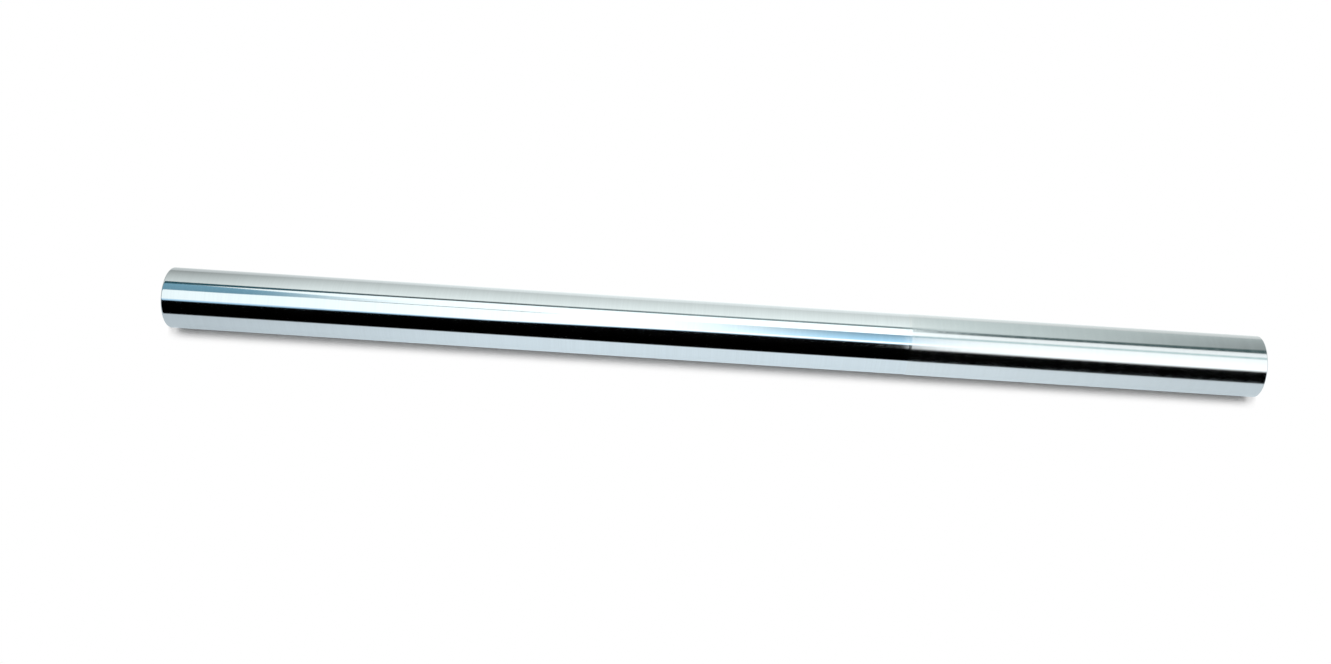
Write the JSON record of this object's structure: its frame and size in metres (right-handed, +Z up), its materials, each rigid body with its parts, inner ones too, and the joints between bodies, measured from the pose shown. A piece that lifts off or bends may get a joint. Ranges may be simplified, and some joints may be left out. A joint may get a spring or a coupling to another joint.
{
  "type": "fork tube",
  "caption": "Long straight steel fork tube with a mirror-chromed sliding length, a satin clamped length, an internal cap thread at one end and a pinned retaining ring in the other.",
  "frame": {"origin": "on the tube's axis, halfway along its length", "axes": "+X along the axis towards the threaded, clamped end; -X towards the end with the pinned ring; +Z up, with the tube lying on its side"},
  "size_m": [0.684, 0.0384, 0.0382],
  "materials": {
    "hard_chrome": "mirror polished",
    "ground_steel": "satin, ground round the axis",
    "turned_steel": "fine turned",
    "bush_bronze": "dull",
    "dark_steel": "dark satin"
  },
  "bodies": {
    "root": {"tube": "hard_chrome", "retaining_ring": "turned_steel", "oil_lock_bush": "bush_bronze", "rod_guide": "dark_steel"}
  },
  "joints": []
}
